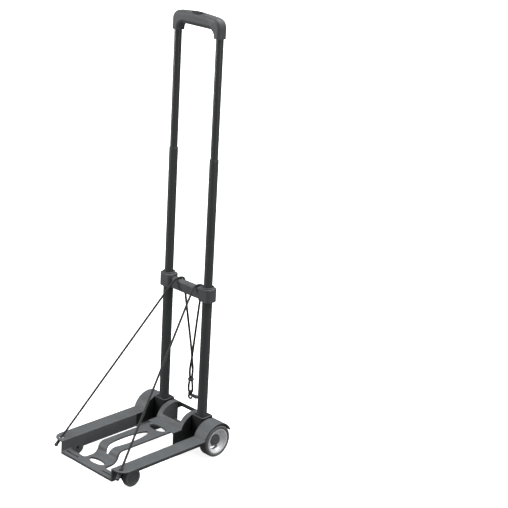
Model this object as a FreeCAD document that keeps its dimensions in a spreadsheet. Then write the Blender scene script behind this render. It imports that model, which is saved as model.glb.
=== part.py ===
import FreeCAD, Part
import Sketcher
import math
import os
import re

V = FreeCAD.Vector

# Driving dimensions in millimetres. "Level" is the height that the deck's and the mast's own
# heights are counted from, Z counts from the floor, and "fore" means ahead of the axle.
DIMS = (
    ("level_z", 37.5), ("gap", 0.3), ("fit", 0.05),
    # running gear
    ("axle_y", 117.5), ("axle_z", 36), ("axle_radius", 4), ("axle_half", 105), ("nut_radius", 8),
    ("wheel_radius", 36), ("wheel_inner", 91), ("wheel_outer", 115), ("tyre_seat", 28.4),
    ("tyre_shoulder", 4), ("hub_radius", 13.2), ("hub_inner", 84), ("cap_outer", 109.2),
    ("cap_radius", 13.4), ("vent_inner", 17.4), ("vent_outer", 21.2), ("vent_half", 9.5),
    ("caster_radius", 20), ("caster_inner", 88), ("caster_outer", 100), ("caster_fore", 230),
    ("caster_seat", 14), ("caster_pin", 2.5), ("pin_head", 5.5), ("hub_plate", 7.4),
    # deck moulding
    ("deck_half", 114.5), ("deck_fore", 273.5), ("flange_top", 11), ("skin", 3), ("corner", 21),
    ("guard_radius", 41.8), ("guard_lip", 14.7), ("wall_inner", 80), ("wall", 3),
    ("wall_drop", 19.5), ("slot_inner", 41.6), ("slot_fore", 64), ("slot_aft", 21),
    ("core_half", 28), ("core_fore", 34), ("core_wall", 2.5), ("web_half", 31.4), ("web_thick", 5),
    ("ramp_aft", 199), ("ramp_run", 16), ("ramp_drop", 12.25), ("bar_fore", 251),
    ("bar_gap", 13.5), ("bar_lip", 2.5), ("lobe_radius", 16.5), ("boss_radius", 6),
    ("cord_hole_x", 97), ("cord_hole_fore", 262), ("cord_hole", 4.8), ("slit_fore", 264),
    ("slit_aft", 260.5), ("slit_inner", 38), ("slit_deep", 1.6), ("bay_aft", 244), ("beyond", 60),
    # mast
    ("tube_x", 61), ("lower_radius", 11), ("lower_bore", 10.2), ("lower_bottom", 9),
    ("lower_top", 337), ("middle_radius", 9.5), ("middle_bore", 8.7), ("middle_bottom", 293),
    ("middle_top", 612.4), ("middle_cap", 618.4), ("upper_radius", 8), ("upper_bore", 7.1),
    ("upper_bottom", 572), ("upper_top", 882), ("glide", 5), ("spigot", 12), ("block_half", 16.75),
    ("block_foot_half", 14.5), ("block_front", 14), ("block_back", 17), ("block_top", 42),
    ("block_bottom", 17), ("block_pin", 1.5), ("block_pin_height", 24), ("collar_reach", 16.5),
    ("collar_inside", 18.5), ("collar_depth", 14.5), ("collar_bottom", 308), ("collar_top", 338.5),
    ("bush_top", 341.3), ("bush_radius", 14), ("bush_mouth", 11.6), ("bar_depth", 8.4),
    ("bar_bottom", 308.5), ("bar_crown", 333),
    # handle and release
    ("handle_half", 70.7), ("handle_bottom", 868.5), ("handle_shoulder", 906.5),
    ("handle_crown", 912), ("handle_depth", 12), ("grip_half", 50), ("grip_under", 884.6),
    ("shoulder_radius", 19), ("palm_radius", 14), ("edge_radius", 8.5), ("duct_half", 6),
    ("duct_top", 900.4), ("cover_thick", 2.4), ("screw_x", 38), ("screw_radius", 1.15),
    ("button_half", 18), ("button_depth", 7.5), ("button_fore", 2.5), ("button_top", 912.9),
    ("yoke_bottom", 894.5), ("yoke_top", 897.5), ("yoke_depth", 3), ("rod_radius", 2), ("lock_radius", 1.6),
    ("spring_radius", 3.6), ("spring_wire", 0.75),
    # strap
    ("cord_radius", 2.4), ("strap_back", 21.5), ("cinch_bottom", 98), ("cinch_bore", 5.1),
    ("loop_z", 68), ("hook_thick", 4.6),
)
ALIASES = {alias for alias, _ in DIMS}

doc = FreeCAD.newDocument("hand_truck")
sheet = doc.addObject("Spreadsheet::Sheet", "dims")
for row, (alias, number) in enumerate(DIMS, 1):
    sheet.set("A%d" % row, alias)
    sheet.set("B%d" % row, str(number))
    sheet.setAlias("B%d" % row, alias)
doc.recompute()


# ---------------------------------------------------------------- helpers

def cells(text):
    """An expression in plain aliases, with each alias pointed at the sheet."""
    return re.sub(r"[a-z_]+", lambda m: "dims." + m.group(0) if m.group(0) in ALIASES else m.group(0),
                  str(text))


def value(text):
    """The number that an expression has now."""
    return float(sheet.evalExpression(cells(text)))


def bind(obj, **props):
    for name, text in props.items():
        obj.setExpression(name.replace("__", "."), cells(text))


def place(obj, x="0", y="0", z="0"):
    """Bind where an object's own origin stands."""
    for letter, text in zip("xyz", (x, y, z)):
        obj.setExpression("Placement.Base." + letter, cells(text))
    return obj


def fore(text):
    return "(axle_y - (%s))" % text


def up(text):
    return "(level_z + (%s))" % text


def axle_up(text):
    return "(axle_z + (%s))" % text


def box(x, y, z, name="block"):
    """A box from pairs of low and high expressions."""
    solid = doc.addObject("Part::Box", name)
    bind(solid, Length="(%s) - (%s)" % (x[1], x[0]), Width="(%s) - (%s)" % (y[1], y[0]),
         Height="(%s) - (%s)" % (z[1], z[0]))
    return place(solid, x[0], y[0], z[0])


AXES = {"x": V(0, 1, 0), "y": V(-1, 0, 0), "z": V(0, 0, 1)}


def rod(axis, low, high, radius, x="0", y="0", z="0", name="rod"):
    """A cylinder along an axis from low to high, at the other two coordinates."""
    solid = doc.addObject("Part::Cylinder", name)
    bind(solid, Radius=radius, Height="(%s) - (%s)" % (high, low))
    if axis != "z":
        solid.Placement = FreeCAD.Placement(V(), FreeCAD.Rotation(AXES[axis], 90))
    start = {"x": x, "y": y, "z": z}
    start[axis] = low
    return place(solid, **start)


def fuse(*solids, name="fused"):
    joined = doc.addObject("Part::MultiFuse", name)
    joined.Shapes = list(solids)
    joined.Refine = True
    return joined


def cut(base, *tools, name="cut"):
    tool = tools[0] if len(tools) == 1 else fuse(*tools)
    result = doc.addObject("Part::Cut", name)
    result.Base = base
    result.Tool = tool
    result.Refine = True
    return result


def common(base, tool):
    result = doc.addObject("Part::Common", "common")
    result.Base = base
    result.Tool = tool
    return result


def rounded(base, radius, test):
    """Fillet the edges of a solid whose middle point and direction pass the test."""
    doc.recompute()
    edges = []
    for number, edge in enumerate(base.Shape.Edges, 1):
        ends = edge.valueAt(edge.LastParameter) - edge.valueAt(edge.FirstParameter)
        if test(edge.CenterOfMass, ends, edge):
            edges.append((number, radius, radius))
    result = doc.addObject("Part::Fillet", "rounded")
    result.Base = base
    result.Edges = edges
    return result


def profile(body, plane, outlines, name="sketch"):
    """A sketch of closed outlines. Points are bound to the sheet, and a third item is the radius of
    the arc that leads from that point to the next, positive where the arc turns anticlockwise."""
    origin_plane = [f for f in body.Origin.OriginFeatures if f.Role == plane][0]
    sketch = body.newObject("Sketcher::SketchObject", name)
    sketch.AttachmentSupport = [(origin_plane, "")]
    sketch.MapMode = "FlatFace"
    for outline in outlines:
        first = len(sketch.Geometry)
        places = [V(value(p[0]), value(p[1]), 0) for p in outline]
        count = len(outline)
        for i, point in enumerate(outline):
            a, b = places[i], places[(i + 1) % count]
            if len(point) == 2:
                sketch.addGeometry(Part.LineSegment(a, b), False)
                continue
            radius = value(point[2])
            chord = b - a
            rise = math.sqrt(max(radius * radius - chord.Length ** 2 / 4, 0))
            side = V(-chord.y, chord.x, 0).normalize() * rise * (1 if radius > 0 else -1)
            centre = (a + b) * 0.5 + side
            middle = centre + ((a + b) * 0.5 - centre).normalize() * abs(radius)
            sketch.addGeometry(Part.Arc(a, middle, b), False)
        for i, point in enumerate(outline):
            here = first + i
            after = first + (i + 1) % count
            anticlockwise = len(point) == 3 and value(point[2]) < 0
            following = outline[(i + 1) % count]
            next_start = 2 if len(following) == 3 and value(following[2]) < 0 else 1
            own_start = 2 if anticlockwise else 1
            own_end = 1 if anticlockwise else 2
            sketch.addConstraint(Sketcher.Constraint("Coincident", here, own_end, after, next_start))
            for kind, text in (("DistanceX", point[0]), ("DistanceY", point[1])):
                index = sketch.addConstraint(
                    Sketcher.Constraint(kind, -1, 1, here, own_start, value(text)))
                sketch.setExpression("Constraints[%d]" % index, cells(text))
            if len(point) == 3:
                index = sketch.addConstraint(Sketcher.Constraint("Radius", here, abs(value(point[2]))))
                sketch.setExpression("Constraints[%d]" % index, cells("abs(%s)" % point[2]))
    return sketch


def new_body(name):
    return doc.addObject("PartDesign::Body", name)


def turned(outline, plane="XY_Plane", axis="H_Axis", name="turned"):
    """A body turned from its half section: (along, radius) about X, or (radius, along) about Z."""
    body = new_body(name)
    sketch = profile(body, plane, [outline])
    turn = body.newObject("PartDesign::Revolution", "turn")
    turn.Profile = sketch
    turn.ReferenceAxis = (sketch, [axis])
    turn.Angle = 360
    return body


def padded(plane, outlines, length, name="padded"):
    """A body padded both ways from an origin plane."""
    body = new_body(name)
    pad = body.newObject("PartDesign::Pad", "pad")
    pad.Profile = profile(body, plane, outlines)
    pad.Midplane = True
    bind(pad, Length=length)
    return body


NODES = []


def node(obj, label):
    """Name a finished sub-part after its node."""
    obj.Label = label
    NODES.append(obj)
    return obj


SIDES = (("left", -1), ("right", 1))
SIGNS = (-1, 1)


def across(side, low, high):
    """The x range between two distances from the middle, on one side."""
    if side > 0:
        return (low, high)
    return ("-(%s)" % high, "-(%s)" % low)


# ---------------------------------------------------------------- deck

def slab(inner, outer, side, front, back, low, high):
    return box(across(side, inner, outer), (fore(front), fore(back)), (up(low), up(high)))


def axle_disc(inner, outer, side, radius):
    low, high = across(side, inner, outer)
    return rod("x", low, high, radius, y="axle_y", z="axle_z")


def guard_arch():
    """The skin that runs over both wheels and the hinge, from the flange crease to the rear lip."""
    ring = cut(rod("x", "-deck_half", "deck_half", "guard_radius", y="axle_y", z="axle_z"),
               rod("x", "-deck_half - 1", "deck_half + 1", "guard_radius - skin", y="axle_y", z="axle_z"))
    wide = ("-deck_half - 2", "deck_half + 2")
    below = box(wide, (fore("beyond"), "axle_y"), (up("-beyond"), up("flange_top - skin")))
    behind = box(wide, (fore("1"), fore("-beyond")), (up("-beyond"), up("guard_lip")))
    return cut(ring, below, behind)


def web():
    """The centre web: flat, then a double bend down to the level of the front bar."""
    low = "flange_top - 2 * ramp_drop"
    bend = "((ramp_run ^ 2 + ramp_drop ^ 2) / (2 * ramp_drop))"
    lean = "(web_thick * ramp_run / %s)" % bend
    sink = "(web_thick * (1 - ramp_drop / %s))" % bend
    outline = [
        ("-slot_fore + 4", "flange_top"), ("-ramp_aft", "flange_top", bend),
        ("-ramp_aft - ramp_run", "flange_top - ramp_drop", "-%s" % bend),
        ("-ramp_aft - 2 * ramp_run", low), ("-bar_fore - 4", low), ("-bar_fore - 4", low + " - web_thick"),
        ("-ramp_aft - 2 * ramp_run", low + " - web_thick", "%s + web_thick" % bend),
        ("-ramp_aft - ramp_run + " + lean, "flange_top - ramp_drop - " + sink, "-(%s - web_thick)" % bend),
        ("-ramp_aft", "flange_top - web_thick"), ("-slot_fore + 4", "flange_top - web_thick"),
    ]
    return place(padded("YZ_Plane", [outline], "2 * web_half", "web"), "0", "axle_y", "level_z")


def gusset(x_side, x, y_front, low, high, radius="7"):
    """The concave round where two edges of the moulding meet, seen from above."""
    reach = (x, "%s + %s" % (x, radius)) if x_side > 0 else ("%s - %s" % (x, radius), x)
    far = reach[1] if x_side > 0 else reach[0]
    block = box(reach, (y_front, "%s + %s" % (y_front, radius)), (low, high))
    return cut(block, rod("z", low + " - 1", high + " + 1", radius, x=far,
                          y="%s + %s" % (y_front, radius)))


def ellipse_tool(centre_fore, half_x, half_y, low, high):
    """An upright elliptical cutter."""
    curve = doc.addObject("Part::Ellipse", "ellipse")
    turned_round = value(half_y) > value(half_x)
    bind(curve, MajorRadius=half_y if turned_round else half_x,
         MinorRadius=half_x if turned_round else half_y)
    curve.Placement.Rotation = FreeCAD.Rotation(V(0, 0, 1), 90 if turned_round else 0)
    place(curve, "0", fore(centre_fore), up(low))
    tool = doc.addObject("Part::Extrusion", "ellipse_tool")
    tool.Base = curve
    tool.DirMode = "Custom"
    tool.Dir = V(0, 0, 1)
    tool.Solid = True
    bind(tool, LengthFwd="(%s) - (%s)" % (high, low))
    return tool


def corner_tool(side):
    """What rounds off a front corner of the flanges."""
    reach = across(side, "deck_half - corner", "deck_half + 1")
    block = box(reach, (fore("deck_fore + 1"), fore("deck_fore - corner")), (up("0"), up("20")))
    centre = "%d * (deck_half - corner)" % side
    return cut(block, rod("z", up("-1"), up("21"), "corner", x=centre, y=fore("deck_fore - corner")))


def front_bar():
    """The low bar across the front, with its lip and the rounds where it meets its neighbours."""
    low, high = up("-bar_gap - skin"), up("-bar_gap")
    solids = [
        box(("-wall_inner", "wall_inner"), (fore("deck_fore"), fore("bar_fore")), (low, high)),
        box(("-wall_inner", "wall_inner"), (fore("deck_fore"), fore("deck_fore - bar_lip")),
            (up("-wall_drop"), high)),
    ]
    for side in SIGNS:
        solids.append(gusset(side, "%d * web_half" % side, fore("bar_fore"), low, high))
        solids.append(gusset(-side, "%d * wall_inner" % side, fore("bar_fore"), low, high))
    return solids


def side_walls(side):
    """The upright walls of one side: flange wall, tube bay and hinge discs, and the caster's boss."""
    wide = across(side, "core_half - 1", "wall_inner + wall + 1")
    under = box(wide, (fore("beyond"), fore("-beyond")), (up("-beyond"), up("-wall_drop")))
    behind = box(wide, (fore("-24"), fore("-beyond")), (up("-beyond"), up("guard_lip")))
    inside = "guard_radius - 1"
    discs = fuse(axle_disc("wall_inner", "wall_inner + wall", side, inside),
                 axle_disc("slot_inner - wall", "slot_inner", side, inside))
    core = common(axle_disc("core_half", "core_half + core_wall", side, inside),
                  slab("core_half", "core_half + core_wall", side, "43", "-10", "-2", "44"))
    ledge = box(across(side, "slot_inner - 1", "wall_inner + 1"),
                (fore("slot_fore"), fore("block_front + gap")),
                (axle_up("-block_front - 2 * gap - skin"), axle_up("-block_front - 2 * gap")))
    lobe = across(side, "wall_inner", "wall_inner + wall")
    boss = across(side, "wall_inner + wall - 1", "caster_inner - gap")
    at = {"y": fore("caster_fore"), "z": "caster_radius"}
    return [
        cut(discs, under, behind), core, ledge,
        slab("wall_inner", "wall_inner + wall", side, "deck_fore", "0", "-wall_drop", "flange_top - 1"),
        slab("slot_inner - wall", "slot_inner", side, "slot_fore", "0", "-wall_drop", "flange_top - 1"),
        rod("x", lobe[0], lobe[1], "lobe_radius", **at), rod("x", boss[0], boss[1], "boss_radius", **at),
    ]


def deck():
    plate = box(("-deck_half", "deck_half"), (fore("deck_fore"), fore("guard_radius - skin")),
                (up("flange_top - skin"), up("flange_top")))
    bay = box(("-wall_inner", "wall_inner"), (fore("deck_fore + 1"), fore("slot_fore")),
              (up("0"), up("20")))
    flanges = cut(plate, bay, corner_tool(-1), corner_tool(1))
    body = fuse(guard_arch(), flanges, web(), *front_bar(), *side_walls(-1), *side_walls(1))
    tools = [
        slab("-core_half", "core_half", 1, "core_fore", "-slot_aft", "0", "beyond"),
        rod("x", "-deck_half", "deck_half", "axle_radius + fit", y="axle_y", z="axle_z"),
        ellipse_tool("73.5", "23", "10.5", "-25", "25"),
        ellipse_tool("159.3", "14.3", "57.3", "-25", "25"),
        ellipse_tool("243.4", "22.3", "9.5", "-25", "25"),
    ]
    for side in SIGNS:
        hole_x = "%d * cord_hole_x" % side
        pin = across(side, "wall_inner - 2", "caster_inner")
        tools += [
            box(across(side, "slot_inner", "wall_inner"), (fore("slot_fore"), fore("-slot_aft")),
                (axle_up("-block_front"), axle_up("beyond"))),
            rod("z", up("0"), up("20"), "cord_hole", x=hole_x, y=fore("cord_hole_fore")),
            slab("slit_inner", "wall_inner - 1.5", side, "slit_fore", "slit_aft",
                 "-bar_gap - slit_deep", "-bar_gap + 1"),
            rod("x", pin[0], pin[1], "caster_pin + fit", y=fore("caster_fore"), z="caster_radius"),
        ]
    return cut(body, *tools, name="deck")


# The moulding is one piece, kept as five neighbouring regions that meet face to face.
moulding = deck()
tall = (up("-beyond"), up("beyond"))
between_walls = ("-wall_inner", "wall_inner")
node(common(moulding, box(("-deck_half - 1", "deck_half + 1"), (fore("slot_fore"), fore("-beyond")), tall)),
     "deck_housing")
node(common(moulding, box(between_walls, (fore("bay_aft"), fore("slot_fore")), tall)), "deck_web")
node(common(moulding, box(between_walls, (fore("deck_fore + 1"), fore("bay_aft")), tall)), "deck_front_bar")
for side_name, side_sign in SIDES:
    strip = box(across(side_sign, "wall_inner", "deck_half + 1"),
                (fore("deck_fore + 1"), fore("slot_fore")), tall)
    node(common(moulding, strip), "deck_rail_" + side_name)

node(rod("x", "-axle_half", "axle_half", "axle_radius", y="axle_y", z="axle_z", name="axle"), "rear_axle")


def axle_nut(side):
    low, high = across(side, "axle_half - 2.4", "axle_half - 0.6")
    return cut(rod("x", low, high, "nut_radius", y="axle_y", z="axle_z"),
               rod("x", low + " - 1", high + " + 1", "axle_radius + fit", y="axle_y", z="axle_z"))


def compound(solids, label):
    """Several separate solids of one kind that share a node."""
    group = doc.addObject("Part::Compound", "group")
    group.Links = list(solids)
    return node(group, label)


compound([axle_nut(-1), axle_nut(1)], "axle_nuts")


def caster_pin(side):
    """Headed pin: the shank is fixed in the wall's boss, and the head sits in the hub's recess."""
    shank = across(side, "wall_inner - 1.5", "caster_outer - 3")
    head = across(side, "caster_outer - 4.3", "caster_outer - 2.7")
    at = {"y": fore("caster_fore"), "z": "caster_radius"}
    return fuse(rod("x", *shank, "caster_pin", **at), rod("x", *head, "pin_head", **at))


compound([caster_pin(-1), caster_pin(1)], "front_wheel_pins")


# ---------------------------------------------------------------- wheels

def mirrored_outline(points, side):
    """A half section drawn for the right side, turned over for the left one."""
    if side > 0:
        return points
    flipped = []
    for i, point in enumerate(points):
        before = points[i - 1]
        arc = [before[2]] if len(before) == 3 else []
        flipped.append(["-(%s)" % point[0], point[1]] + arc)
    return flipped[::-1]


def rear_wheel(name, side):
    tyre = [
        ("wheel_inner + 2", "tyre_seat"), ("wheel_outer - 1.6", "tyre_seat"),
        ("wheel_outer - 0.4", "tyre_seat + 2"),
        ("wheel_outer", "wheel_radius - tyre_shoulder", "tyre_shoulder"),
        ("wheel_outer - tyre_shoulder", "wheel_radius"),
        ("wheel_inner + tyre_shoulder", "wheel_radius", "tyre_shoulder"),
        ("wheel_inner", "wheel_radius - tyre_shoulder"),
    ]
    rim = [
        ("hub_inner", "axle_radius + 0.08"), ("axle_half - 3", "axle_radius + 0.08"),
        ("axle_half - 3", "hub_radius - 1.5"), ("axle_half - 1.2", "hub_radius"),
        ("axle_half - 5.5", "hub_radius + 4.5"), ("wheel_outer - 6", "tyre_seat - 4"),
        ("wheel_outer - 1.2", "tyre_seat - 2.4"), ("wheel_outer - 1.2", "tyre_seat - 0.05"),
        ("wheel_inner + 2", "tyre_seat - 0.05"), ("wheel_inner + 2", "tyre_seat - 2.6"),
        ("wheel_outer - 9", "tyre_seat - 5"), ("axle_half - 8.5", "hub_radius + 3"),
        ("axle_half - 8.5", "hub_radius - 2"), ("hub_inner", "hub_radius - 4"),
    ]
    cap = [
        ("axle_half - 2.9", "hub_radius - 3.5"), ("axle_half + 0.9", "hub_radius - 3.5"),
        ("axle_half + 0.9", "0"), ("cap_outer", "0"), ("cap_outer - 0.5", "cap_radius - 4"),
        ("cap_outer - 2.2", "cap_radius - 0.7"), ("axle_half - 1.1", "cap_radius"),
        ("axle_half - 1.1", "hub_radius - 0.6"), ("axle_half - 2.9", "hub_radius - 1.55"),
    ]
    at_axle = ("0", "axle_y", "axle_z")
    rim_body = place(turned(mirrored_outline(rim, side), name="rim"), *at_axle)
    node(place(turned(mirrored_outline(tyre, side), name="tyre"), *at_axle), "rear_tyre_" + name)
    node(cut(rim_body, vents(side), name="rim_cut"), "rear_rim_" + name)
    node(place(turned(mirrored_outline(cap, side), name="cap"), *at_axle), "hub_cap_" + name)


def vents(side):
    """Two crescents through the dish of a rear rim, above and below the hub."""
    low, high = across(side, "axle_half - 14", "axle_half + 8")
    at = {"y": "axle_y", "z": "axle_z"}
    band = cut(rod("x", low, high, "vent_outer", **at), rod("x", low, high, "vent_inner", **at))
    sector = box((low, high), ("axle_y - vent_half", "axle_y + vent_half"),
                 (axle_up("-wheel_radius"), axle_up("wheel_radius")))
    return common(band, sector)


def front_wheel(name, side):
    tyre = [
        ("caster_inner", "caster_seat"), ("caster_outer", "caster_seat"),
        ("caster_outer", "caster_radius - 2", "2"), ("caster_outer - 2", "caster_radius"),
        ("caster_inner + 2", "caster_radius", "2"), ("caster_inner", "caster_radius - 2"),
    ]
    hub = [
        ("caster_inner", "caster_pin + 0.08"), ("caster_outer - 4.6", "caster_pin + 0.08"),
        ("caster_outer - 4.6", "pin_head + 0.9"), ("caster_outer - 2.2", "pin_head + 0.9"),
        ("caster_outer - 2.2", "hub_plate + fit"), ("caster_outer - 1.6", "hub_plate + fit"),
        ("caster_outer - 1.6", "caster_seat - 2"), ("caster_outer", "caster_seat - 1"),
        ("caster_outer", "caster_seat - 0.05"), ("caster_inner", "caster_seat - 0.05"),
    ]
    plate = [
        ("caster_outer - 2.15", "0"), ("caster_outer - 1.1", "0"), ("caster_outer - 1.3", "hub_plate - 1"),
        ("caster_outer - 1.6", "hub_plate"), ("caster_outer - 2.15", "hub_plate"),
    ]
    for label, outline in (("front_tyre_", tyre), ("front_hub_", hub), ("front_plate_", plate)):
        piece = turned(mirrored_outline(outline, side), name="front_wheel")
        node(place(piece, "0", fore("caster_fore"), "caster_radius"), label + name)


for side_name, side_sign in SIDES:
    rear_wheel(side_name, side_sign)
    front_wheel(side_name, side_sign)


# ---------------------------------------------------------------- mast, lower stage

def hinge_block(side):
    """Tapered socket: the tube goes in from above and the axle crosses below it."""
    wedge = doc.addObject("Part::Wedge", "wedge")
    bind(wedge, Xmin="-block_foot_half", Xmax="block_foot_half", X2min="-block_half", X2max="block_half",
         Ymin="0", Ymax="block_top + block_bottom", Zmin="-block_back", Zmax="block_front",
         Z2min="-block_back", Z2max="block_front")
    wedge.Placement = FreeCAD.Placement(V(), FreeCAD.Rotation(V(1, 0, 0), 90))
    place(wedge, "%d * tube_x" % side, "axle_y", up("-block_bottom"))
    upright = rounded(wedge, 2.5, lambda middle, ends, edge: abs(ends.z) > 40)
    socket = rod("z", up("lower_bottom"), up("block_top + 1"), "lower_radius + fit",
                 x="%d * tube_x" % side, y="axle_y")
    low, high = across(side, "tube_x - 20", "tube_x + 20")
    return cut(upright, socket, rod("x", low, high, "axle_radius + 0.08", y="axle_y", z="axle_z"),
               rod("x", low, high, "block_pin + fit", y="axle_y", z=up("block_pin_height")))


def tube(side, outer, inner, bottom, top):
    """Round tube padded up from its lower end."""
    body = new_body("tube")
    sketch = profile(body, "XY_Plane", [])
    for radius in (outer, inner):
        ring = sketch.addGeometry(Part.Circle(V(), V(0, 0, 1), value(radius)), False)
        sketch.addConstraint(Sketcher.Constraint("Coincident", ring, 3, -1, 1))
        index = sketch.addConstraint(Sketcher.Constraint("Radius", ring, value(radius)))
        sketch.setExpression("Constraints[%d]" % index, cells(radius))
    pad = body.newObject("PartDesign::Pad", "pad")
    pad.Profile = sketch
    bind(pad, Length="(%s) - (%s)" % (top, bottom))
    return place(body, "%d * tube_x" % side, "axle_y", up(bottom))


def collar(side):
    shell = box(across(side, "tube_x - collar_inside", "tube_x + collar_reach"),
                ("axle_y - collar_depth", "axle_y + collar_depth"), (up("collar_bottom"), up("collar_top")))
    upright = rounded(shell, 9, lambda middle, ends, edge: abs(ends.z) > 20)
    ends_z = (value(up("collar_bottom")), value(up("collar_top")))
    return rounded(upright, 1.8, lambda middle, ends, edge: min(abs(middle.z - z) for z in ends_z) < 0.01)


def crossbar():
    bar = box(("-tube_x", "tube_x"), ("axle_y - bar_depth", "axle_y + bar_depth"),
              (up("bar_bottom"), up("bar_crown")))
    crown = value(up("bar_crown"))
    crowned = rounded(bar, 5, lambda middle, ends, edge: abs(middle.z - crown) < 0.01 and abs(ends.x) > 50)
    foot = value(up("bar_bottom"))
    crowned = rounded(crowned, 1.5,
                      lambda middle, ends, edge: abs(middle.z - foot) < 0.01 and abs(ends.x) > 50)
    body = fuse(crowned, collar(-1), collar(1))
    tools = []
    for side in SIGNS:
        at = {"x": "%d * tube_x" % side, "y": "axle_y"}
        tools.append(rod("z", up("collar_bottom - 1"), up("lower_top + fit"), "lower_radius + fit", **at))
        tools.append(rod("z", up("lower_top"), up("collar_top + 1"), "lower_radius + 0.5", **at))
    return cut(body, *tools, name="crossbar")


def ring(x, inner, outer, low, high):
    return cut(rod("z", up(low), up(high), outer, x=x, y="axle_y"),
               rod("z", up(low + " - 1"), up(high + " + 1"), inner, x=x, y="axle_y"))


def collar_bush(side):
    """Round bezel on a collar, with a wide mouth and a neck that guides the middle tube."""
    x = "%d * tube_x" % side
    neck = ring(x, "middle_radius + gap", "lower_radius + 0.45", "lower_top + fit", "collar_top + 0.5")
    floor = ring(x, "middle_radius + gap", "bush_radius", "collar_top + 0.02", "collar_top + 0.8")
    bezel = ring(x, "bush_mouth", "bush_radius", "collar_top + 0.02", "bush_top")
    top = value(up("bush_top"))
    return rounded(fuse(neck, floor, bezel), 0.9, lambda middle, ends, edge: abs(middle.z - top) < 0.01)


for side_name, side_sign in SIDES:
    node(hinge_block(side_sign), "hinge_block_" + side_name)
    node(tube(side_sign, "lower_radius", "lower_bore", "lower_bottom", "lower_top"),
         "lower_tube_" + side_name)
    node(collar_bush(side_sign), "collar_bush_" + side_name)
node(crossbar(), "crossbar")


def block_pin(side):
    """Short pin through one wall of the block that keeps the tube in it."""
    low, high = across(side, "tube_x + lower_radius + 0.1", "tube_x + block_foot_half + 0.6")
    return rod("x", low, high, "block_pin", y="axle_y", z=up("block_pin_height"))


compound([block_pin(-1), block_pin(1)], "block_pins")


# ---------------------------------------------------------------- mast, middle and upper stages

def plug(x, guide, inside, bottom, top):
    """Glide under a tube: a guide ring below the end and a spigot inside it."""
    return fuse(rod("z", up(bottom), up(top + " - fit"), guide, x=x, y="axle_y"),
                rod("z", up(bottom), up(top + " + spigot"), inside, x=x, y="axle_y"))


def drilled(solid, x, radius, low, high):
    return cut(solid, rod("z", up(low), up(high), radius, x=x, y="axle_y"))


def glide(side, guide, inside, bottom, bore, lock_start):
    """The glide of one tube, bored for the push rod and for its lock pin."""
    x = "%d * tube_x" % side
    foot = bottom + " - glide"
    solid = drilled(plug(x, guide, inside, foot, bottom), x, bore, foot + " - 1", bottom + " + spigot + 1")
    low, high = across(side, "tube_x + " + lock_start, "tube_x + beyond")
    seat = rod("x", low, high, "lock_radius + fit", y="axle_y", z=up(bottom + " - glide / 2"))
    return cut(solid, seat)


def lock_pin(side, bottom, start, length):
    """Spring-loaded lock pin at rest inside its glide."""
    low, high = across(side, "tube_x + " + start, "tube_x + %s + %s" % (start, length))
    return rod("x", low, high, "lock_radius", y="axle_y", z=up(bottom + " - glide / 2"))


def telescope(name, side):
    x = "%d * tube_x" % side
    node(tube(side, "middle_radius", "middle_bore", "middle_bottom", "middle_top"), "middle_tube_" + name)
    rim = ring(x, "upper_radius + gap", "middle_radius", "middle_top + 0.02", "middle_cap")
    skirt = ring(x, "upper_radius + gap", "middle_bore - fit", "middle_top - 18", "middle_top + 1")
    rim_top = value(up("middle_cap"))
    rim_reach = value("middle_radius")
    node(rounded(fuse(rim, skirt), 0.8, lambda middle, ends, edge:
                 abs(middle.z - rim_top) < 0.01 and edge.Curve.Radius > rim_reach - 0.1),
         "middle_cap_" + name)
    node(glide(side, "lower_bore - gap", "middle_bore - fit", "middle_bottom", "rod_radius + 1.2", "0"),
         "middle_glide_" + name)
    node(tube(side, "upper_radius", "upper_bore", "upper_bottom", "upper_top"), "upper_tube_" + name)
    node(glide(side, "middle_bore - gap", "upper_bore - fit", "upper_bottom", "rod_radius + gap", "0"),
         "upper_glide_" + name)


for side_name, side_sign in SIDES:
    telescope(side_name, side_sign)
compound([lock_pin(side, "middle_bottom", "3.4", "6") for side in SIGNS], "middle_lock_pins")
compound([lock_pin(side, "upper_bottom", "2.5", "5.5") for side in SIGNS], "upper_lock_pins")


# ---------------------------------------------------------------- handle and release

def handle_form():
    """The outline of the U handle seen from the front, padded through its depth."""
    outline = [
        ("-handle_half", "handle_bottom"), ("-grip_half", "handle_bottom"), ("-grip_half", "grip_under"),
        ("grip_half", "grip_under"), ("grip_half", "handle_bottom"), ("handle_half", "handle_bottom"),
        ("handle_half", "handle_shoulder", "((handle_half ^ 2 + (handle_crown - handle_shoulder) ^ 2)"
         " / (2 * (handle_crown - handle_shoulder)))"),
        ("-handle_half", "handle_shoulder"),
    ]
    return place(padded("XZ_Plane", [outline], "2 * handle_depth", "handle_form"), "0", "axle_y", "level_z")


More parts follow.
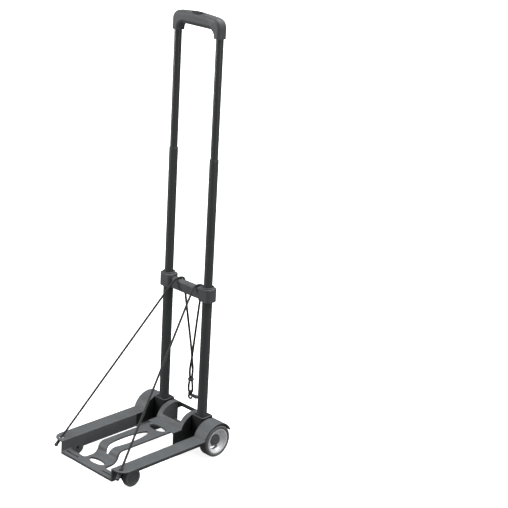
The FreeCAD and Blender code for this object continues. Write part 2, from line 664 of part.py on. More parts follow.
def handle():
    form = handle_form()
    depth = value("handle_depth")
    shoulder = value(up("handle_shoulder"))
    palm = value(up("grip_under"))
    along_y = lambda ends: abs(abs(ends.y) - 2 * depth) < 0.01
    form = rounded(form, value("shoulder_radius"),
                   lambda middle, ends, edge: along_y(ends) and abs(middle.z - shoulder) < 1)
    form = rounded(form, value("palm_radius"),
                   lambda middle, ends, edge: along_y(ends) and abs(middle.z - palm) < 1)
    foot = value(up("handle_bottom"))
    faces = [value("axle_y") - depth, value("axle_y") + depth]
    form = rounded(form, value("edge_radius"), lambda middle, ends, edge:
                   min(abs(middle.y - face) for face in faces) < 0.01 and abs(middle.z - foot) > 0.1)
    tools = [
        box(("-grip_half + 3", "grip_half - 3"), ("axle_y - duct_half - 1.5", "axle_y + duct_half + 1.5"),
            (up("grip_under - 1"), up("grip_under + cover_thick + 0.1"))),
        box(("-tube_x - 2.8", "tube_x + 2.8"), ("axle_y - duct_half", "axle_y + duct_half"),
            (up("grip_under + 2"), up("duct_top"))),
    ]
    for side in SIGNS:
        x = "%d * tube_x" % side
        tools.append(rod("z", up("handle_bottom - 1"), up("upper_top + fit"), "upper_radius + fit",
                         x=x, y="axle_y"))
        tools.append(rod("z", up("upper_top"), up("duct_top"), "rod_radius + 0.8", x=x, y="axle_y"))
        tools.append(rod("z", up("grip_under"), up("duct_top + 3"), "screw_radius + fit",
                         x="%d * screw_x" % side, y="axle_y"))
    well = ellipse_tool("button_fore", "button_half + gap", "button_depth + gap",
                        "grip_under + cover_thick + 0.1", "handle_crown + 5")
    return cut(form, well, *tools, name="handle")


def handle_cover():
    """Strip that closes the underside of the grip, held by two screws."""
    strip = box(("-grip_half + 3.2", "grip_half - 3.2"),
                ("axle_y - duct_half - 1.3", "axle_y + duct_half + 1.3"),
                (up("grip_under"), up("grip_under + cover_thick")))
    holes = [rod("z", up("grip_under - 1"), up("grip_under + 5"), "screw_radius + 0.15",
                 x="%d * screw_x" % side, y="axle_y") for side in SIGNS]
    return cut(strip, *holes)


def handle_screw(side):
    x = "%d * screw_x" % side
    return fuse(rod("z", up("grip_under - 1.4"), up("grip_under - 0.02"), "2.6", x=x, y="axle_y"),
                rod("z", up("grip_under - 1"), up("grip_under + 6"), "screw_radius", x=x, y="axle_y"))


def release_button():
    """Lens-shaped key with a domed top."""
    key = ellipse_tool("button_fore", "button_half", "button_depth", "yoke_top + 0.02", "button_top")
    top = value(up("button_top"))
    return rounded(key, 2.2, lambda middle, ends, edge: abs(edge.BoundBox.ZMin - top) < 0.01)


def button_yoke():
    tall_enough = (up("yoke_bottom - 1"), up("yoke_top + 1"))
    bar = box(("-tube_x - 2.5", "tube_x + 2.5"), ("axle_y - yoke_depth", "axle_y + yoke_depth"),
              (up("yoke_bottom"), up("yoke_top")))
    holes = []
    for side in SIGNS:
        holes.append(rod("z", *tall_enough, "rod_radius + fit", x="%d * tube_x" % side, y="axle_y"))
        holes.append(rod("z", *tall_enough, "screw_radius + 1", x="%d * screw_x" % side, y="axle_y"))
    return cut(bar, *holes)


node(handle(), "handle")
node(handle_cover(), "handle_cover")
compound([handle_screw(-1), handle_screw(1)], "handle_screws")
node(release_button(), "release_button")
node(button_yoke(), "button_yoke")
for side_name, side_sign in SIDES:
    node(rod("z", up("upper_bottom + 8"), up("yoke_top - 0.5"), "rod_radius",
             x="%d * tube_x" % side_sign, y="axle_y"), "push_rod_" + side_name)


def button_spring():
    """Coil spring of two turns between the grip's cover and the yoke."""
    bottom = value(up("grip_under + cover_thick + 0.1"))
    wire = value("spring_wire")
    reach = value("spring_radius")
    rise = value(up("yoke_bottom")) - bottom - 0.1 - 2 * wire
    helix = Part.makeHelix(rise / 2, rise, reach)
    section = Part.Wire([Part.makeCircle(wire, V(reach, 0, 0), V(0, 2 * math.pi * reach, rise / 2))])
    spring = doc.addObject("Part::Feature", "spring")
    spring.Shape = Part.Wire(helix.Edges).makePipeShell([section], True, True)
    spring.Placement.Base = V(0, value("axle_y"), bottom + wire)
    return spring


node(button_spring(), "button_spring")


# ---------------------------------------------------------------- luggage strap

# How far from the middle each half of the cord is at the crossbar's front, at its back and below it.
HUMPS = {-1: (28, 23, 27.5), 1: (30, 35, 20.5)}
STRAP_BACK = value("strap_back")


# The cord's route, as points ahead of (negative) or behind the axle and above the level: from the hole
# in the left front corner up to the crossbar, over it, down behind it, through the cinch and the
# hook's eye, and back the same way to the right corner.
def strap_half(side):
    front, back, below = HUMPS[side]
    apart = STRAP_BACK - 2.7 * side
    return [
        (side * 98.4, -266.9, 3), (side * front, -15, 340), (side * back, 15, 342),
        (side * below, 18.5, 304), (side * 3, apart, 154), (side * -2.6, apart, 122),
        (side * -2.6, STRAP_BACK, 101), (side * -6.4, STRAP_BACK, 84), (side * -5.8, STRAP_BACK, 68),
    ]


def strap_route():
    middle_y = value("axle_y")
    level = value("level_z")
    route = strap_half(-1) + strap_half(1)[::-1]
    return [V(x, middle_y + y, level + z) for x, y, z in route]


def arc_through(points, share=0.45):
    """Straight runs joined by tangent arcs, each as large as its two runs allow."""
    edges = []
    start = points[0]
    radii = []
    for i in range(1, len(points) - 1):
        back = points[i - 1] - points[i]
        ahead = points[i + 1] - points[i]
        reach = share * min(back.Length, ahead.Length)
        turn = math.pi - back.getAngle(ahead)
        radii.append(reach / math.tan(turn / 2))
        first = points[i] + V(back).normalize() * reach
        last = points[i] + V(ahead).normalize() * reach
        bisector = (V(back).normalize() + V(ahead).normalize()).normalize()
        depth = radii[-1] / math.cos(turn / 2) - radii[-1]
        edges.append(Part.LineSegment(start, first).toShape())
        edges.append(Part.Arc(first, points[i] + bisector * depth, last).toShape())
        start = last
    edges.append(Part.LineSegment(start, points[-1]).toShape())
    return Part.Wire(edges), radii


def elastic_cord():
    path, radii = arc_through(strap_route())
    radius = value("cord_radius")
    start = path.Edges[0].valueAt(path.Edges[0].FirstParameter)
    along = path.Edges[0].tangentAt(path.Edges[0].FirstParameter)
    section = Part.Wire([Part.makeCircle(radius, start, along)])
    cord = doc.addObject("Part::Feature", "cord")
    cord.Shape = path.makePipeShell([section], True, False)
    expected = math.pi * radius ** 2 * path.Length
    print("cord length %.1f volume %.1f expected %.1f radii %s"
          % (path.Length, cord.Shape.Volume, expected, " ".join("%.1f" % r for r in radii)))
    return cord


def cord_end(side):
    """Ball-ended ferrule that stops the cord under the flange, in line with its pull."""
    points = strap_half(side)
    first = V(*points[0])
    pull = (V(*points[1]) - first).normalize()
    tip = first - pull * 10
    ferrule = doc.addObject("Part::Cylinder", "ferrule")
    bind(ferrule, Radius="cord_radius + 1.3")
    ferrule.Height = 10
    ball = doc.addObject("Part::Sphere", "ball")
    bind(ball, Radius="cord_radius + 2")
    turn = FreeCAD.Rotation(V(0, 0, 1), pull)
    for piece in (ferrule, ball):
        piece.Placement = FreeCAD.Placement(V(), turn)
        place(piece, "%g" % tip.x, "axle_y + %g" % tip.y, up("%g" % tip.z))
    return fuse(ferrule, ball)


def cinch():
    """Short flared ring that gathers the two strands."""
    outline = [
        ("cinch_bore", "cinch_bottom"), ("6.6", "cinch_bottom"), ("6.9", "cinch_bottom + 1.2"),
        ("6.1", "cinch_bottom + 5"), ("cinch_bore", "cinch_bottom + 5.4"),
    ]
    return place(turned(outline, "XZ_Plane", "V_Axis", "cinch"), "0", "axle_y + strap_back", "level_z")


def hook():
    """Plastic hook: an eye for the cord, a flat tab that widens to one side and an open curl below."""
    thick = value("hook_thick")
    curl_centre = V(0, 0, -10)
    curl_radius = 4.6
    around = [curl_centre + V(math.cos(a), 0, math.sin(a)) * curl_radius
              for a in (math.radians(90), math.radians(215), math.radians(335))]
    path = Part.Wire([Part.Arc(*around).toShape()])
    section = Part.Wire([Part.makeCircle(thick / 2 - 0.1, around[0], V(1, 0, 0))])
    curl = path.makePipeShell([section], True, False)
    tip = Part.makeSphere(thick / 2 - 0.1, around[-1])
    tab_edges = [V(-2, 0, -7.4), V(20, 0, -8.6), V(20, 0, -0.4), V(-2, 0, -3)]
    tab_end = Part.Arc(tab_edges[1], V(23.4, 0, -4.5), tab_edges[2]).toShape()
    sides = [Part.makeLine(tab_edges[0], tab_edges[1]), tab_end, Part.makeLine(tab_edges[2], tab_edges[3]),
             Part.makeLine(tab_edges[3], tab_edges[0])]
    tab = Part.Face(Part.Wire(sides)).extrude(V(0, thick, 0))
    tab.translate(V(0, -thick / 2, 0))
    eye = Part.makeTorus(4.7, 1.7, V(0, 0, -1), V(1, 0, 0))
    piece = doc.addObject("Part::Feature", "hook")
    piece.Shape = curl.fuse([tip, tab, eye]).removeSplitter()
    piece.Placement.Base = V(0, value("axle_y + strap_back"), value(up("loop_z")))
    return piece


node(elastic_cord(), "elastic_cord")
for side_name, side_sign in SIDES:
    node(cord_end(side_sign), "cord_end_" + side_name)
node(cinch(), "cord_cinch")
node(hook(), "cord_hook")


# ---------------------------------------------------------------- check and write

doc.recompute()
for obj in doc.Objects:
    if "Invalid" in obj.State or "Error" in obj.State:
        raise RuntimeError("%s (%s) did not compute" % (obj.Name, obj.Label))
for obj in NODES:
    if obj.Shape.isNull() or not obj.Shape.isValid() or not obj.Shape.Solids:
        raise RuntimeError("%s has no valid solid" % obj.Label)
os.makedirs("parts", exist_ok=True)
for obj in NODES:
    obj.Shape.exportStep("parts/%s.step" % obj.Label)
    print("%-22s %2d solid(s) %10.1f mm3" % (obj.Label, len(obj.Shape.Solids), obj.Shape.Volume))
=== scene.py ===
import math

import bmesh
import bpy
import numpy as np
from mathutils import Matrix, Vector


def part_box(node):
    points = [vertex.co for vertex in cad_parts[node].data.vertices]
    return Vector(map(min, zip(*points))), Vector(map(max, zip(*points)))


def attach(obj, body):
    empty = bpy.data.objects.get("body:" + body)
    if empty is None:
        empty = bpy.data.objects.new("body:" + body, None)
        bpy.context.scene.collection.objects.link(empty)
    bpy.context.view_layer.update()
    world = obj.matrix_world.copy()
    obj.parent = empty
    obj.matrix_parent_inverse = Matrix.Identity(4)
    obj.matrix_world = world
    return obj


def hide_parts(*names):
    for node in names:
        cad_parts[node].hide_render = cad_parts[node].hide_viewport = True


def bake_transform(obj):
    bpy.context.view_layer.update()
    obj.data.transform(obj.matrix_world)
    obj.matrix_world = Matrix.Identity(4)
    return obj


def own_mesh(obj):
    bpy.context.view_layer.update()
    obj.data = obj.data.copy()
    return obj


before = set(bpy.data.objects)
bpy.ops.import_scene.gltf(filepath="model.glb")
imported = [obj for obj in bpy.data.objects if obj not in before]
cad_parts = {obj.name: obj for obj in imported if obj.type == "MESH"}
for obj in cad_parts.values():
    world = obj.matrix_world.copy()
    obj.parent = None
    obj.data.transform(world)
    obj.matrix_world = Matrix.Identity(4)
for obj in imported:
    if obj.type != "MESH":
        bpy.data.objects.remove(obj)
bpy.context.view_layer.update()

MM = 0.001
SIDES = ("left", "right")
WHEEL_LOW, WHEEL_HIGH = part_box("rear_tyre_right")
AXLE_Y = (WHEEL_LOW.y + WHEEL_HIGH.y) / 2
FLANGE_HEIGHT = 11 * MM
LEVEL_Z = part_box("deck_web")[1].z - FLANGE_HEIGHT
# Where the deck's two bays and its front bar's slits lie, for the shade painted into them: how far from the
# middle, along the cart, and how high the painted shade at the slits' bottoms reaches.
BAY_ACROSS, BAY_ALONG = (40.6 * MM, 80.6 * MM), (AXLE_Y - 64 * MM, AXLE_Y + 21 * MM)
SLIT_ACROSS, SLIT_ALONG = (38 * MM, 78.5 * MM), (AXLE_Y - 264 * MM, AXLE_Y - 260.5 * MM)
SLIT_DEEP = (LEVEL_Z - 15.6 * MM, LEVEL_Z - 13.8 * MM)



# ---------------------------------------------------------------- camera

def add_camera():
    """Looks down on the cart from its right front corner, a little tilted."""
    azimuth, elevation, roll = (math.radians(a) for a in (43.21, 19.18, 3.37))
    distance = 2.998
    aim = Vector((0.158, AXLE_Y + 0.0323, LEVEL_Z + 0.4345))
    back = Vector((math.sin(azimuth) * math.cos(elevation),
                   -math.cos(azimuth) * math.cos(elevation), math.sin(elevation)))
    level = Vector((math.cos(azimuth), math.sin(azimuth), 0))
    rise = back.cross(level)
    right = level * math.cos(roll) + rise * math.sin(roll)
    up = rise * math.cos(roll) - level * math.sin(roll)
    data = bpy.data.cameras.new("camera")
    data.lens = 103.02
    data.sensor_width = 36
    data.clip_end = 60
    camera = bpy.data.objects.new("camera", data)
    camera.matrix_world = Matrix((
        (right.x, up.x, back.x, aim.x + back.x * distance),
        (right.y, up.y, back.y, aim.y + back.y * distance),
        (right.z, up.z, back.z, aim.z + back.z * distance),
        (0, 0, 0, 1)))
    bpy.context.collection.objects.link(camera)
    bpy.context.scene.camera = camera


# ---------------------------------------------------------------- elastic cord

CORD_DIAMETER = 4.8 * MM
STRAP_BACK = 21.5
BRAID_LAY = 11 * MM
BRAID_HEIGHT = 0.16 * MM
STEP_ALONG = 0.8 * MM
# How far from the middle each half of the cord is at the crossbar's front, at its back and below it.
HUMPS = {-1: (28, 23, 27.5), 1: (30, 35, 20.5)}


def strap_half(side):
    """The strap's route from one front corner, over the crossbar and down to the hook, in
    millimetres behind the axle and above the deck's level."""
    front, back, below = HUMPS[side]
    apart = STRAP_BACK - 2.7 * side
    return [
        (side * 98.4, -266.9, 3),
        (side * (front + 4), -25, 317),
        (side * front, -10, 336),
        (side * back, 10.4, 335.8),
        (side * (0.7 * back + 0.3 * below), 13.4, 322),
        (side * below, 18.5, 301),
        (side * (0.16 * below + 2.5), apart, 178),
        (side * 3, apart, 154),
        (side * -2.6, apart, 122),
        (side * -2.6, STRAP_BACK, 101),
        (side * -6.4, STRAP_BACK, 84),
        (side * -5.8, STRAP_BACK, 68),
    ]


def cord_line():
    """Points along the strap's own NURBS spline, with the route's points as its control points."""
    route = strap_half(-1) + strap_half(1)[::-1]
    data = bpy.data.curves.new("cord_line", "CURVE")
    data.dimensions = "3D"
    data.resolution_u = 24
    spline = data.splines.new("NURBS")
    spline.points.add(len(route) - 1)
    for point, (x, y, z) in zip(spline.points, route):
        point.co = (x * MM, AXLE_Y + y * MM, LEVEL_Z + z * MM, 1)
    spline.order_u = 3
    spline.use_endpoint_u = True
    line = bpy.data.objects.new("cord_line", data)
    mesh = bpy.data.meshes.new_from_object(line)
    points = [v.co.copy() for v in mesh.vertices]
    bpy.data.meshes.remove(mesh)
    bpy.data.objects.remove(line)
    bpy.data.curves.remove(data)
    return points


def evenly(points, step):
    """The same line as points a step apart."""
    line = np.array([tuple(p) for p in points])
    run = np.r_[0, np.cumsum(np.linalg.norm(np.diff(line, axis=0), axis=1))]
    places = np.linspace(0, run[-1], max(2, round(run[-1] / step)) + 1)
    return np.stack([np.interp(places, run, line[:, k]) for k in range(3)], axis=1)


def frames_along(line):
    """A pair of unit vectors across the line at each point, which turn as little as they can."""
    ahead = np.gradient(line, axis=0)
    ahead /= np.linalg.norm(ahead, axis=1)[:, None]
    side = np.cross(ahead[0], (1, 0, 0))
    sides = []
    for direction in ahead:
        side = side - direction * (side @ direction)
        side /= np.linalg.norm(side)
        sides.append(side)
    sides = np.array(sides)
    return sides, np.cross(ahead, sides)


def tube_mesh(name, line, radius, around, relief=None):
    """A closed tube along a line. relief(turn, place) gives how far each point stands out."""
    sides, others = frames_along(line)
    verts = []
    for i, centre in enumerate(line):
        for k in range(around):
            turn = 2 * math.pi * k / around
            r = radius + (relief(turn, i) if relief else 0)
            verts.append(centre + (sides[i] * math.cos(turn) + others[i] * math.sin(turn)) * r)
    faces = []
    for i in range(len(line) - 1):
        for k in range(around):
            a, b = i * around + k, i * around + (k + 1) % around
            faces.append((a, b, b + around, a + around))
    faces.append(tuple(reversed(range(around))))
    last = (len(line) - 1) * around
    faces.append(tuple(last + k for k in range(around)))
    mesh = bpy.data.meshes.new(name)
    mesh.from_pydata([tuple(v) for v in verts], [], faces)
    mesh.shade_smooth()
    obj = bpy.data.objects.new(name, mesh)
    bpy.context.collection.objects.link(obj)
    return obj


def elastic_cord():
    """One braided elastic cord, whose strands cross in a diamond pattern."""
    line = evenly(cord_line(), STEP_ALONG)

    def braid(turn, i):
        along = 2 * math.pi * i * STEP_ALONG / BRAID_LAY
        return BRAID_HEIGHT * math.sin(4 * turn + 4 * along) * math.sin(4 * turn - 4 * along)

    cord = tube_mesh("braided_cord", line, CORD_DIAMETER / 2, 16, braid)
    cord.data.materials.append(braided_elastic())
    return cord, line


# ---------------------------------------------------------------- materials

def shader(name):
    made = bpy.data.materials.new(name)
    made.use_nodes = True
    return made, made.node_tree, made.node_tree.nodes["Principled BSDF"]


def node(tree, kind, **settings):
    """A shader node. A setting named after one of the node's own properties sets it, and any other fills
    the input of that name."""
    made = tree.nodes.new("ShaderNode" + kind)
    for key, value in settings.items():
        label = key.replace("_", " ").title()
        if hasattr(made, key):
            setattr(made, key, value)
        else:
            made.inputs[label].default_value = value
    return made


def noise_field(tree, scale, detail=2.0, stretch=(1, 1, 1), low=0.35, high=0.65):
    """A noise in the piece's own coordinates, spread to run from 0 to 1."""
    place = node(tree, "TexCoord")
    mapping = node(tree, "Mapping")
    mapping.inputs["Scale"].default_value = stretch
    field = node(tree, "TexNoise", scale=scale, detail=detail)
    spread = node(tree, "MapRange", from_min=low, from_max=high)
    tree.links.new(place.outputs["Object"], mapping.inputs["Vector"])
    tree.links.new(mapping.outputs["Vector"], field.inputs["Vector"])
    tree.links.new(field.outputs["Fac"], spread.inputs["Value"])
    return spread.outputs["Result"]


def blended(tree, fac, first, second):
    """A colour between two, each a constant or a socket, by a socket that runs from 0 to 1."""
    mix = node(tree, "Mix", data_type="RGBA")
    colour_a, colour_b = mix.inputs[6], mix.inputs[7]
    for socket, value in ((colour_a, first), (colour_b, second)):
        if isinstance(value, tuple):
            socket.default_value = (*value, 1)
        else:
            tree.links.new(value, socket)
    tree.links.new(fac, mix.inputs[0])
    return mix.outputs[2]


def scaled(tree, socket, low, high):
    """A 0 to 1 socket as a number from low to high."""
    spread = node(tree, "MapRange", to_min=low, to_max=high)
    tree.links.new(socket, spread.inputs["Value"])
    return spread.outputs["Result"]


def edge_mask(tree, radius):
    """1 near a piece's edges and 0 on its faces."""
    rounded = node(tree, "Bevel", samples=4, radius=radius)
    flat = node(tree, "NewGeometry")
    alike = node(tree, "VectorMath", operation="DOT_PRODUCT")
    tree.links.new(rounded.outputs["Normal"], alike.inputs[0])
    tree.links.new(flat.outputs["Normal"], alike.inputs[1])
    spread = node(tree, "MapRange", from_min=0.98, from_max=0.8)
    tree.links.new(alike.outputs["Value"], spread.inputs["Value"])
    return spread.outputs["Result"], rounded.outputs["Normal"]


def bumped(tree, bsdf, height, depth, strength=1.0, normal=None):
    bump = node(tree, "Bump", strength=strength, distance=depth)
    tree.links.new(height, bump.inputs["Height"])
    if normal is not None:
        tree.links.new(normal, bump.inputs["Normal"])
    tree.links.new(bump.outputs["Normal"], bsdf.inputs["Normal"])


def math_node(tree, operation, *values):
    """A Math node whose inputs are constants or sockets."""
    made = node(tree, "Math", operation=operation)
    for socket, value in zip(made.inputs, values):
        if isinstance(value, (int, float)):
            socket.default_value = value
        else:
            tree.links.new(value, socket)
    return made.outputs[0]


def in_span(tree, socket, low, high):
    """1 where a socket lies between two numbers, and 0 elsewhere."""
    return math_node(tree, "COMPARE", socket, (low + high) / 2, (high - low) / 2)


def all_of(tree, *masks):
    product = masks[0]
    for mask in masks[1:]:
        product = math_node(tree, "MULTIPLY", product, mask)
    return product


def recess_shade_mask(tree):
    """Painted shade mask: 1 on the upright walls round the bays that the hinge blocks stand in and in the
    front bar's slits, which are painted dark as shade.
    """
    place, upright = node(tree, "SeparateXYZ"), node(tree, "SeparateXYZ")
    tree.links.new(node(tree, "TexCoord").outputs["Object"], place.inputs[0])
    tree.links.new(node(tree, "NewGeometry").outputs["Normal"], upright.inputs[0])
    across = math_node(tree, "ABSOLUTE", place.outputs["X"])
    side_on = math_node(tree, "LESS_THAN", math_node(tree, "ABSOLUTE", upright.outputs["Z"]), 0.7)
    along, height = place.outputs["Y"], place.outputs["Z"]
    bays = all_of(tree, in_span(tree, across, *BAY_ACROSS), in_span(tree, along, *BAY_ALONG), side_on)
    slits = all_of(tree, in_span(tree, across, *SLIT_ACROSS), in_span(tree, along, *SLIT_ALONG),
                   in_span(tree, height, *SLIT_DEEP))
    return math_node(tree, "MAXIMUM", bays, slits)


def moulded(name, colour, roughness=0.5, edge=0.6 * MM, worn=1.5, recess_shade_colour=None):
    """Injection-moulded plastic: a fine spark-eroded grain, faint cloudiness, handling marks and rubbed
    edges. The last argument is the colour of the shade painted onto the walls of the deck's bays and into
    its slits."""
    made, tree, bsdf = shader(name)
    cloud = noise_field(tree, 22, 4)
    speck = noise_field(tree, 1400, 2)
    scuff = noise_field(tree, 60, 6, stretch=(1, 6, 1), low=0.5, high=0.72)
    dark = tuple(c * 0.9 for c in colour)
    light = tuple(min(1, c * 1.1) for c in colour)
    tone = blended(tree, cloud, dark, light)
    tone = blended(tree, scaled(tree, speck, 0, 0.14), tone, tuple(min(1, c * 1.7) for c in colour))
    rubbed, soft = edge_mask(tree, edge)
    tone = blended(tree, scaled(tree, rubbed, 0, 0.45), tone, tuple(min(1, c * worn + 0.01) for c in colour))
    # Shade painted dark onto the walls of the deck's bays and the bottoms of its slits.
    if recess_shade_colour:
        tone = blended(tree, recess_shade_mask(tree), tone, recess_shade_colour)
    tree.links.new(tone, bsdf.inputs["Base Color"])
    tree.links.new(scaled(tree, scuff, roughness, roughness - 0.12), bsdf.inputs["Roughness"])
    bumped(tree, bsdf, noise_field(tree, 2600, 3), 0.06 * MM, 0.5, soft)
    return made


def braided_elastic():
    """Dull textile yarn over rubber: a fibre grain and a slight fuzz."""
    made, tree, bsdf = shader("braided_elastic")
    yarn = noise_field(tree, 1800, 3)
    tone = blended(tree, yarn, (0.018, 0.018, 0.019), (0.045, 0.045, 0.047))
    tree.links.new(tone, bsdf.inputs["Base Color"])
    bsdf.inputs["Roughness"].default_value = 0.8
    bsdf.inputs["Sheen Weight"].default_value = 0.25
    bsdf.inputs["Sheen Roughness"].default_value = 0.5
    bumped(tree, bsdf, yarn, 0.08 * MM, 0.6)
    return made


def coated_tube():
    """Steel tube in a dark satin coat, drawn lengthways, with faint slide marks along it."""
    made, tree, bsdf = shader("coated_tube")
    streak = noise_field(tree, 300, 4, stretch=(1, 1, 0.01))
    cloud = noise_field(tree, 30, 3)
    tone = blended(tree, streak, (0.062, 0.065, 0.067), (0.074, 0.078, 0.080))
    tone = blended(tree, scaled(tree, cloud, 0, 0.3), tone, (0.090, 0.094, 0.097))
    tree.links.new(tone, bsdf.inputs["Base Color"])
    tree.links.new(scaled(tree, streak, 0.24, 0.36), bsdf.inputs["Roughness"])
    bsdf.inputs["Specular IOR Level"].default_value = 0.6
    bumped(tree, bsdf, noise_field(tree, 1500, 2), 0.02 * MM, 0.3)
    return made


def metal(name, colour, roughness):
    """Zinc-plated steel with a fine brushed grain."""
    made, tree, bsdf = shader(name)
    brush = noise_field(tree, 900, 3, stretch=(0.05, 1, 1))
    cloud = noise_field(tree, 80, 3)
    tone = blended(tree, brush, tuple(c * 0.8 for c in colour), colour)
    tree.links.new(tone, bsdf.inputs["Base Color"])
    tree.links.new(scaled(tree, cloud, roughness - 0.08, roughness + 0.12), bsdf.inputs["Roughness"])
    bsdf.inputs["Metallic"].default_value = 1
    bumped(tree, bsdf, brush, 0.02 * MM, 0.4)
    return made


def rubber(name, colour):
    """Solid grey tyre rubber: slightly mottled, dusty in its pores and dull."""
    made, tree, bsdf = shader(name)
    mottle = noise_field(tree, 90, 5)
    pores = noise_field(tree, 2200, 2)
    tone = blended(tree, mottle, tuple(c * 0.85 for c in colour), tuple(c * 1.12 for c in colour))
    tone = blended(tree, scaled(tree, pores, 0, 0.12), tone, tuple(c * 1.8 for c in colour))
    tree.links.new(tone, bsdf.inputs["Base Color"])
    tree.links.new(scaled(tree, mottle, 0.62, 0.78), bsdf.inputs["Roughness"])
    bsdf.inputs["Specular IOR Level"].default_value = 0.4
    bumped(tree, bsdf, pores, 0.05 * MM, 0.5)
    return made


def silver_paint():
    """Silver-white lacquer on the rims: a fine metallic fleck under a clear coat."""
    made, tree, bsdf = shader("silver_paint")
    fleck = noise_field(tree, 3500, 1)
    cloud = noise_field(tree, 40, 3)
    tone = blended(tree, fleck, (0.80, 0.81, 0.83), (0.95, 0.96, 0.98))
    tone = blended(tree, scaled(tree, cloud, 0, 0.25), tone, (0.78, 0.79, 0.81))
    tree.links.new(tone, bsdf.inputs["Base Color"])
    tree.links.new(scaled(tree, cloud, 0.28, 0.4), bsdf.inputs["Roughness"])
    bsdf.inputs["Metallic"].default_value = 0.12
    bsdf.inputs["Coat Weight"].default_value = 0.4
    bsdf.inputs["Coat Roughness"].default_value = 0.15
    bumped(tree, bsdf, fleck, 0.01 * MM, 0.2)
    return made


def dress(material, *names):
    """Gives CAD nodes a material."""
    for name in names:
        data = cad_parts[name].data
        data.materials.clear()
        data.materials.append(material)


def both(stem):
    return [f"{stem}_{side}" for side in SIDES]


# ---------------------------------------------------------------- stage

def add_stage():
    """A plain white floor that glows a little, as a lit paper sweep does, and throws no light on the
    cart."""
    bpy.ops.mesh.primitive_circle_add(vertices=64, radius=14, fill_type="NGON")
    floor = bpy.context.object
    floor.name = "floor"
    made, tree, bsdf = shader("floor_paper")
    tone = blended(tree, noise_field(tree, 3, 3), (0.92, 0.92, 0.92), (0.95, 0.95, 0.95))
    tree.links.new(tone, bsdf.inputs["Base Color"])
    bsdf.inputs["Roughness"].default_value = 0.9
    bsdf.inputs["Emission Color"].default_value = (1, 1, 1, 1)
    bsdf.inputs["Emission Strength"].default_value = 0.85
    floor.data.materials.append(made)
    floor.visible_diffuse = False
    floor.visible_glossy = False


def area_light(name, place, aim, size, power):
    data = bpy.data.lights.new(name, "AREA")
    data.shape = "RECTANGLE"
    data.size, data.size_y = size
    data.energy = power
    lamp = bpy.data.objects.new(name, data)
    lamp.location = place
    lamp.rotation_mode = "QUATERNION"
    lamp.rotation_quaternion = (Vector(aim) - Vector(place)).to_track_quat("-Z", "Y")
    bpy.context.collection.objects.link(lamp)


def sky_panel(name, towards, energy, spread):
    """A broad even light from one direction."""
    data = bpy.data.lights.new(name, "SUN")
    data.energy = energy
    data.angle = math.radians(spread)
    lamp = bpy.data.objects.new(name, data)
    lamp.rotation_mode = "QUATERNION"
    lamp.rotation_quaternion = Vector(towards).to_track_quat("-Z", "Y")
    bpy.context.collection.objects.link(lamp)


def add_light():
    world = bpy.data.worlds.new("studio")
    bpy.context.scene.world = world
    world.use_nodes = True
    sky = world.node_tree.nodes["Background"]
    sky.inputs["Color"].default_value = (1, 1, 1, 1)
    sky.inputs["Strength"].default_value = 0.16
    sky_panel("overhead", (-0.12, -0.25, -1), 3.7, 55)
    area_light("left_strip", (-2.4, -2.2, 1.3), (0, 0, 0.5), (0.6, 2.8), 62)
    area_light("right_strip", (3.0, -0.2, 1.5), (0, 0, 0.7), (0.4, 2.4), 21)


# ---------------------------------------------------------------- the cart

DECK_NODES = ("deck_housing", "deck_web", "deck_front_bar", "deck_rail_left", "deck_rail_right")


def linked(name, mesh):
    obj = bpy.data.objects.new(name, mesh)
    bpy.context.collection.objects.link(obj)
    return obj


def deck_moulding(material):
    """The whole deck as the one moulding that it is, with the small radius that a mould leaves on its
    edges."""
    mesh = bpy.data.meshes.new("deck_blank")
    joined = bmesh.new()
    for name in DECK_NODES:
        joined.from_mesh(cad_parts[name].data)
    joined.to_mesh(mesh)
    joined.free()
    blank = linked("deck_blank", mesh)
    skin = blank.modifiers.new("skin", "REMESH")
    skin.mode = "VOXEL"
    skin.voxel_size = 0.8 * MM
    ease = blank.modifiers.new("ease", "SMOOTH")
    ease.iterations = 3
    thin = blank.modifiers.new("thin", "DECIMATE")
    thin.ratio = 0.3
    graph = bpy.context.evaluated_depsgraph_get()
    made = bpy.data.meshes.new_from_object(blank.evaluated_get(graph))
    bpy.data.objects.remove(blank)
    made.name = "deck_moulding"
    made.materials.clear()
    made.materials.append(material)
    made.shade_smooth()
    deck = linked("deck_moulding", made)
    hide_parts(*DECK_NODES)
    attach(deck, "deck")
    return deck


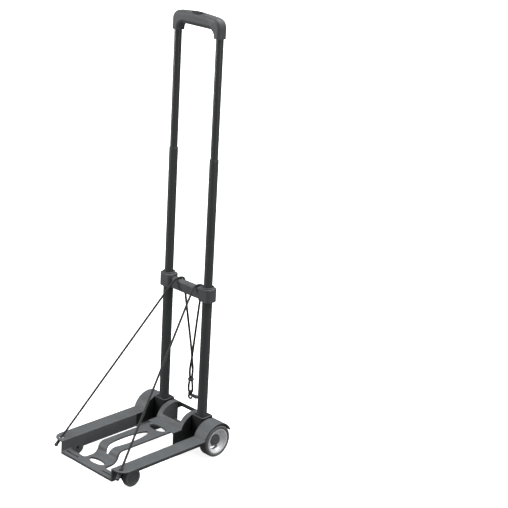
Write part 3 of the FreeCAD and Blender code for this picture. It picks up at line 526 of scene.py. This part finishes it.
def socket_rim(side_name, material):
    """The raised lip round the mouth of a hinge block, swept round a rounded rectangle."""
    low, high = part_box("hinge_block_" + side_name)
    inset, corner = 1.2 * MM, 3.2 * MM
    data = bpy.data.curves.new("socket_rim", "CURVE")
    data.dimensions = "3D"
    data.bevel_depth = 1.1 * MM
    data.bevel_resolution = 4
    spline = data.splines.new("POLY")
    points = []
    for turn, x, y in ((0, high.x, high.y), (1, low.x, high.y), (2, low.x, low.y), (3, high.x, low.y)):
        centre_x = x - math.copysign(inset + corner, x - (low.x + high.x) / 2)
        centre_y = y - math.copysign(inset + corner, y - (low.y + high.y) / 2)
        for step in range(9):
            angle = math.radians(90 * turn + 90 * step / 8)
            points.append((centre_x + corner * math.cos(angle), centre_y + corner * math.sin(angle)))
    spline.points.add(len(points) - 1)
    for point, (x, y) in zip(spline.points, points):
        point.co = (x, y, high.z, 1)
    spline.use_cyclic_u = True
    outline = bpy.data.objects.new("socket_rim", data)
    mesh = bpy.data.meshes.new_from_object(outline)
    bpy.data.objects.remove(outline)
    mesh.materials.append(material)
    mesh.shade_smooth()
    rim = linked("socket_rim_" + side_name, mesh)
    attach(rim, "mast")


def return_spring(material):
    """The button's coil spring, on a mesh of its own that rides with the upper stage."""
    coil = linked("return_spring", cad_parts["button_spring"].data.copy())
    coil.data.materials.clear()
    coil.data.materials.append(material)
    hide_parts("button_spring")
    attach(coil, "upper_stage")
    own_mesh(coil)


def build_cart():
    grey_tone = (0.100, 0.107, 0.112)
    grey = moulded("grey_plastic", grey_tone)
    # The deck's plastic, with shade painted dark onto its bay walls and slit bottoms.
    deck_grey = moulded("deck_plastic", grey_tone, recess_shade_colour=(0.014, 0.015, 0.015))
    dark = moulded("dark_plastic", (0.080, 0.083, 0.085), roughness=0.42, edge=0.4 * MM)
    black = moulded("black_plastic", (0.012, 0.013, 0.013), roughness=0.5, edge=0.6 * MM, worn=1.3)
    acetal = moulded("acetal", (0.62, 0.62, 0.59), roughness=0.35, edge=0.3 * MM, worn=1.05)
    steel = metal("zinc_steel", (0.62, 0.62, 0.60), 0.3)
    coat = coated_tube()
    deck_moulding(deck_grey)
    return_spring(steel)
    dress(grey, "handle", "handle_cover", "crossbar", *both("collar_bush"),
          *both("hub_cap"), *both("front_plate"), *both("front_hub"))
    dress(black, *both("hinge_block"), "front_wheel_pins", "release_button")
    dress(dark, *both("middle_cap"), *both("cord_end"), "cord_cinch", "cord_hook")
    dress(acetal, *both("middle_glide"), *both("upper_glide"), "button_yoke")
    dress(coat, *both("lower_tube"), *both("middle_tube"), *both("upper_tube"))
    dress(steel, "rear_axle", "axle_nuts", "block_pins", "handle_screws",
          "middle_lock_pins", "upper_lock_pins", *both("push_rod"))
    dress(rubber("grey_rubber", (0.140, 0.144, 0.146)), *both("rear_tyre"), *both("front_tyre"))
    dress(silver_paint(), *both("rear_rim"))
    for side_name in SIDES:
        socket_rim(side_name, grey)


bpy.context.scene.view_settings.view_transform = "Standard"
add_camera()
cord, cord_path = elastic_cord()
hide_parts("elastic_cord")
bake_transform(cord)
build_cart()
add_stage()
add_light()
